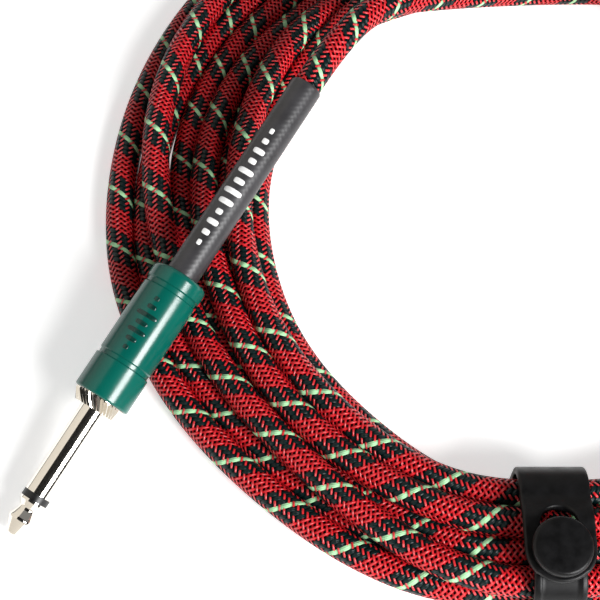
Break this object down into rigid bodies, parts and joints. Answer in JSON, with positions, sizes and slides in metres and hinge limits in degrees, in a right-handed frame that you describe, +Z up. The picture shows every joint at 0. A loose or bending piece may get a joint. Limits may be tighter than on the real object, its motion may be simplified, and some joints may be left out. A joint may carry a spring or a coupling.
{
  "type": "instrument cable",
  "caption": "Coiled instrument cable with a woven cover, a straight jack plug with a screw-on barrel and sleeve boot at each end, and a rubber button tie.",
  "frame": {"origin": "the middle of the coil of cord, midway between the two plugs, on the floor the coil lies on", "axes": "+Z up; +Y away from the tie across the coil; +X towards plug B, the way the two plugs point apart"},
  "size_m": [0.2354, 0.2114, 0.0328],
  "materials": {
    "nickel_plate": "bright nickel plate, warm, polished",
    "black_insulator": "smooth black moulded ring",
    "white_insulator": "natural nylon",
    "phenolic_board": "brown phenolic board",
    "tinned_brass": "stamped, tin plated",
    "solder_alloy": "bright set solder",
    "bare_copper": "bare stranded copper",
    "core_polythene": "natural polythene",
    "pvc_jacket": "soft matt PVC",
    "tweed_braid": "woven red yarn with dark green and light green tracers",
    "heat_shrink": "satin heat-shrunk sleeve",
    "green_enamel": "glossy green enamel over brass",
    "clear_liner": "clear plastic tube",
    "tie_rubber": "moulded black rubber"
  },
  "bodies": {
    "cable": {"tip_contact_a": "nickel_plate", "tip_ring_a": "black_insulator", "rod_tube_a": "white_insulator", "sleeve_a": "nickel_plate", "ground_lug_a": "tinned_brass", "rear_washer_a": "phenolic_board", "tip_lug_a": "tinned_brass", "solder_joints_a": "solder_alloy", "core_wire_a": "bare_copper", "shield_tail_a": "bare_copper", "core_insulation_a": "core_polythene", "jacket_a": "pvc_jacket", "braid_a": "tweed_braid", "boot_a": "heat_shrink", "tip_contact_b": "nickel_plate", "tip_ring_b": "black_insulator", "rod_tube_b": "white_insulator", "sleeve_b": "nickel_plate", "ground_lug_b": "tinned_brass", "rear_washer_b": "phenolic_board", "tip_lug_b": "tinned_brass", "solder_joints_b": "solder_alloy", "core_wire_b": "bare_copper", "shield_tail_b": "bare_copper", "core_insulation_b": "core_polythene", "jacket_b": "pvc_jacket", "braid_b": "tweed_braid", "boot_b": "heat_shrink", "coil": "tweed_braid", "lead_a": "tweed_braid", "lead_b": "tweed_braid", "tie_band": "tie_rubber", "tie_button": "tie_rubber"},
    "liner_a": {"liner_a": "clear_liner"},
    "barrel_a": {"barrel_a": "green_enamel"},
    "liner_b": {"liner_b": "clear_liner"},
    "barrel_b": {"barrel_b": "green_enamel"},
    "tie_tab": {"tie_tab": "tie_rubber"}
  },
  "joints": [
    {"name": "barrel_a_pull_back", "type": "slide", "parent": "cable", "child": "liner_a", "axis": [0.5302, 0.8259, 0.192], "range_m": [0, 0.032]},
    {"name": "barrel_a_turn", "type": "hinge", "parent": "liner_a", "child": "barrel_a", "pos_m": [-0.09804, -0.05833, 0.01026], "axis": [0.5302, 0.8259, 0.192], "continuous": true},
    {"name": "barrel_b_pull_back", "type": "slide", "parent": "cable", "child": "liner_b", "axis": [-0.5302, 0.8259, 0.192], "range_m": [0, 0.032]},
    {"name": "barrel_b_turn", "type": "hinge", "parent": "liner_b", "child": "barrel_b", "pos_m": [0.09804, -0.05833, 0.01026], "axis": [-0.5302, 0.8259, 0.192], "continuous": true},
    {"name": "tie_tab_lift", "type": "hinge", "parent": "cable", "child": "tie_tab", "pos_m": [0, -0.081, 0.01815], "axis": [-1, 0, 0], "range_deg": [0, 110], "deforming": ["tie_tab"]}
  ]
}
